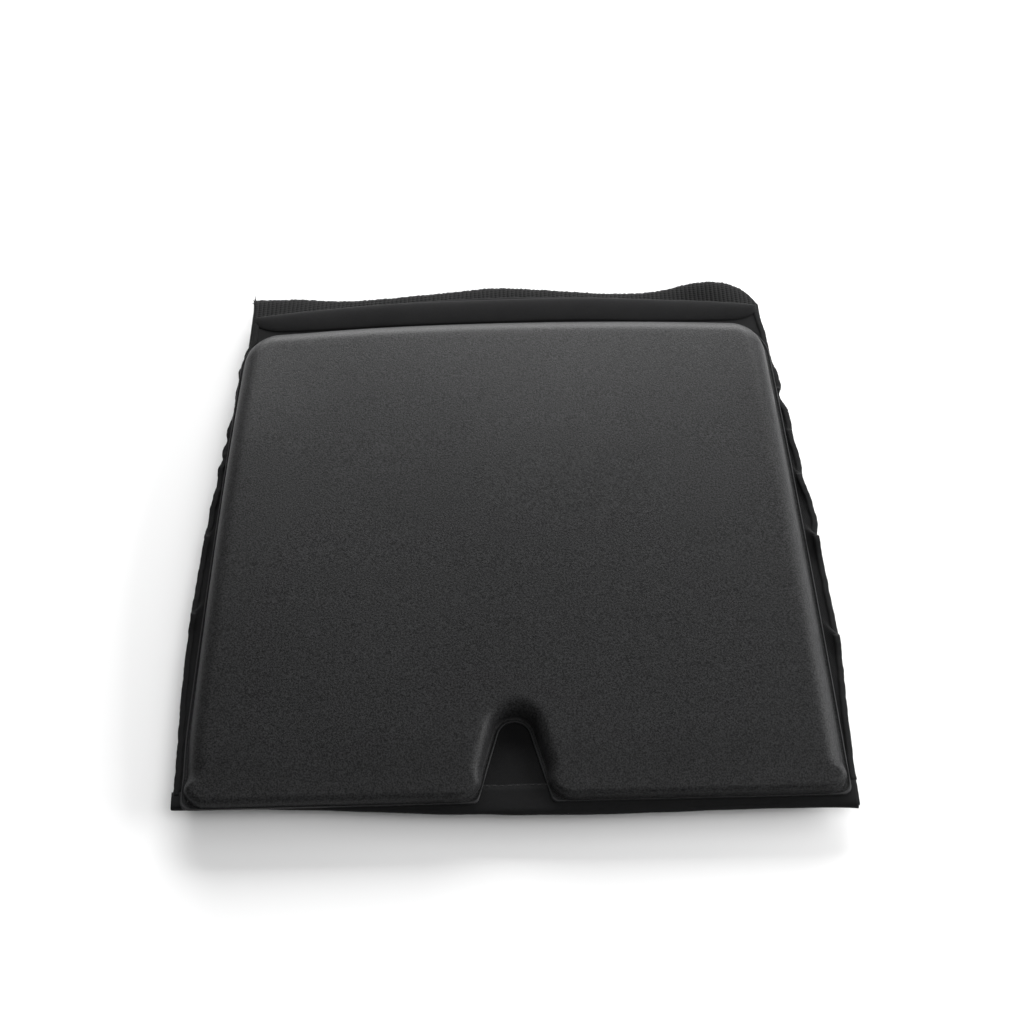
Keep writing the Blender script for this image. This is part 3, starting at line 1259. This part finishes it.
def make_field(folded, field, body):
    """Hook or loop field sewn to the tab: a thin base with rows of hooks, or a napped pile."""
    low, high = node_box(field)
    facing = -1 if field == "hook_field" else 1
    base_z = high[2] if facing < 0 else low[2]
    tall = high[2] - low[2]
    margin = 7 * MM
    root, tip = folded.reach - 16 * MM, folded.reach - TAB_LONG + margin
    u, v = np.linspace(0, 1, 70), np.linspace(-1, 1, 120)
    a = (root + (tip - root) * u)[None, :] + 0 * v[:, None]
    half = folded.tab_half(root + (tip - root) * u) - margin
    near = np.clip((1 - u) * (root - tip) / 0.011, 0, 1)
    half = half - 0.006 * (1 - np.sqrt(np.clip(1 - (1 - near) ** 2, 0, 1)))
    b = v[:, None] * half[None, :]
    rim = np.minimum(1 - np.abs(v[:, None]), np.minimum(u, 1 - u)[None, :] * 1.2) / 0.02
    crown = np.sqrt(np.clip(1 - (1 - np.clip(rim, 0, 1)) ** 2, 0, 1))
    body_height = tall * (0.42 if facing < 0 else 0.80)
    tufts = np.sin(a / MM * 2.9) * np.sin(b / MM * 2.7 + 0.6 * np.sin(a / MM))
    nap = 0 if facing < 0 else tufts * 0.10 * MM + 0.06 * MM
    surface = base_z + facing * (0.3 * MM + (body_height - 0.3 * MM) * crown + nap * crown)
    back = np.full_like(a, base_z + facing * 0.02 * MM)
    top, bottom = (surface, back) if facing > 0 else (back, surface)
    upper, lower = folded.place(a, b, top), folded.place(a, b, bottom)
    points, faces = two_faced(upper, lower) if folded.side < 0 else two_faced(lower, upper)
    if facing < 0:
        hooks, hook_faces = bent_hooks(folded, (tip, root), base_z, tall, body_height, len(points))
        points, faces = list(points) + hooks, list(faces) + hook_faces
    kind = "hook" if facing < 0 else "loop"
    piece = new_piece(f"{kind}_face", points, faces, f"{kind}s")
    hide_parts(field)
    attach(piece, body)


# ----------------------------------------------------------------- operators
class BuildStep(bpy.types.Operator):
    """One step of the build."""

    bl_options = {"REGISTER", "UNDO"}

    def execute(self, context):
        scene = context.scene
        self.build(scene.protector_pad, scene.protector_belt, scene.protector_stage)
        return {"FINISHED"}


class PROTECTOR_OT_pad(BuildStep):
    """Moulded pad cover, and the finishes of what it holds."""

    bl_idname = "protector.pad"
    bl_label = "Moulded pad"

    def build(self, pad, belt, stage):
        make_pad_cover(pad)
        make_foam_block(pad)
        for node, name in (("impact_plate", "plate"), ("comfort_pad", "soft_foam")):
            dress(node, name)


class PROTECTOR_OT_backing(BuildStep):
    """Backing cloth with its gathered sides and hems."""

    bl_idname = "protector.backing"
    bl_label = "Backing and hems"

    def build(self, pad, belt, stage):
        make_backing_cloth(belt, pad)
        make_side_hems(belt, pad)
        make_lower_hem(belt)
        make_top_hem(belt)


class PROTECTOR_OT_elastic(BuildStep):
    """Back section of the ribbed elastic, with the lining and stays beneath it."""

    bl_idname = "protector.elastic"
    bl_label = "Back elastic and lining"

    def build(self, pad, belt, stage):
        make_back_elastic(belt)
        make_lining()
        for place in ("left_outer", "left_inner", "right_inner", "right_outer"):
            dress(f"back_stay_{place}", "stay")


class PROTECTOR_OT_wings(BuildStep):
    """Folded wings of the belt with their tapes and stay tunnels."""

    bl_idname = "protector.wings"
    bl_label = "Folded wings"

    def build(self, pad, belt, stage):
        for name in SIDES:
            folded = FoldedSide(name)
            make_tab(folded, belt)
            make_wing(folded, belt)
            make_wing_tapes(folded, belt)
            make_stay_channel(folded, belt)
            dress(f"wing_stay_{name}", "stay")


class PROTECTOR_OT_stage(BuildStep):
    """Floor, lights and camera."""

    bl_idname = "protector.stage"
    bl_label = "Stage"

    def build(self, pad, belt, stage):
        make_stage(stage)


def dress(node, finish_name):
    """Gives a CAD node its finish."""
    mesh = frame["nodes"][node].data
    mesh.materials.clear()
    mesh.materials.append(finish(finish_name))


# --------------------------------------------------------------------- stage
# Softboxes: the place, the point each faces, its width and height, and its power in watts.
SOFTBOXES = {
    "back_softbox": ((0.15, 2.20, 0.66), (0.0, 0.0, 0.0), 2.4, 1.7, 165.0),
    "right_softbox": ((1.50, 0.10, 0.55), (0.05, 0.0, 0.0), 1.2, 0.8, 34.0),
    "front_softbox": ((0.60, -0.60, 1.8), (0.0, -0.05, 0.0), 1.4, 1.4, 13.0),
}
WORLD_LIGHT = 0.14
FLOOR_HALF = 6.0


def area_light(name, place, target, width, height, power):
    light = bpy.data.lights.new(name, "AREA")
    light.shape, light.size, light.size_y = "RECTANGLE", width, height
    light.energy = power
    lamp = bpy.data.objects.new(name, light)
    lamp.location = place
    lamp.rotation_euler = (Vector(target) - Vector(place)).to_track_quat("-Z", "Y").to_euler()
    bpy.context.scene.collection.objects.link(lamp)


def make_stage(stage):
    """A pale floor, an even world, the softboxes and the camera."""
    scene = bpy.context.scene
    mesh = bpy.data.meshes.new("floor")
    corners = [(x * FLOOR_HALF, y * FLOOR_HALF, 0) for x, y in ((-1, -1), (1, -1), (1, 1), (-1, 1))]
    mesh.from_pydata(corners, [], [(0, 1, 2, 3)])
    paper = Finish("floor_paper", Specular_IOR_Level=0.0)
    paper.shader.inputs["Roughness"].default_value = 1.0
    paper.shader.inputs["Base Color"].default_value = (*stage.floor_colour, 1.0)
    mesh.materials.append(paper.material)
    floor = bpy.data.objects.new("floor", mesh)
    scene.collection.objects.link(floor)

    world = bpy.data.worlds.new("studio")
    world.use_nodes = True
    background = world.node_tree.nodes["Background"]
    background.inputs[0].default_value = (1.0, 1.0, 1.0, 1.0)
    background.inputs[1].default_value = WORLD_LIGHT
    scene.world = world
    scene.view_settings.view_transform = "Standard"

    for name, softbox in SOFTBOXES.items():
        area_light(name, *softbox)

    camera = bpy.data.cameras.new("camera")
    camera.angle = stage.field
    camera.clip_start, camera.clip_end = 0.01, 20.0
    eye = bpy.data.objects.new("camera", camera)
    yaw, pitch = -stage.turn, stage.pitch
    ahead = Vector((math.sin(yaw) * math.cos(pitch), math.cos(yaw) * math.cos(pitch), -math.sin(pitch)))
    right = Vector((math.cos(yaw), -math.sin(yaw), 0.0))
    over = right.cross(ahead)
    right, over = (
        right * math.cos(stage.roll) + over * math.sin(stage.roll),
        over * math.cos(stage.roll) - right * math.sin(stage.roll),
    )
    turn = Matrix((right, over, -ahead)).transposed().to_4x4()
    eye.matrix_world = Matrix.Translation(Vector(stage.eye)) @ turn
    scene.collection.objects.link(eye)
    scene.camera = eye


# --------------------------------------------------------------------- panel
STEPS = (
    PROTECTOR_OT_pad, PROTECTOR_OT_backing, PROTECTOR_OT_elastic, PROTECTOR_OT_wings, PROTECTOR_OT_stage,
)


class PROTECTOR_PT_panel(bpy.types.Panel):
    """Lists the build's steps and their settings."""

    bl_idname = "PROTECTOR_PT_panel"
    bl_label = "Lower Back Protector"
    bl_space_type = "VIEW_3D"
    bl_region_type = "UI"
    bl_category = "Protector"

    def draw(self, context):
        for step in STEPS:
            self.layout.operator(step.bl_idname)
        scene = context.scene
        for group in (scene.protector_pad, scene.protector_belt, scene.protector_stage):
            box = self.layout.box()
            for key in group.__annotations__:
                box.prop(group, key)


CLASSES = (PadSettings, BeltSettings, StageSettings, *STEPS, PROTECTOR_PT_panel)
GROUPS = {
    "protector_pad": PadSettings, "protector_belt": BeltSettings, "protector_stage": StageSettings,
}


def register():
    for entry in CLASSES:
        bpy.utils.register_class(entry)
    for name, group in GROUPS.items():
        setattr(bpy.types.Scene, name, bpy.props.PointerProperty(type=group))


def unregister():
    for name in GROUPS:
        delattr(bpy.types.Scene, name)
    for entry in reversed(CLASSES):
        bpy.utils.unregister_class(entry)


def main():
    """Builds everything in order."""
    register()
    bpy.ops.protector.pad()
    bpy.ops.protector.backing()
    bpy.ops.protector.elastic()
    bpy.ops.protector.wings()
    bpy.ops.protector.stage()


if __name__ == "__main__":
    main()
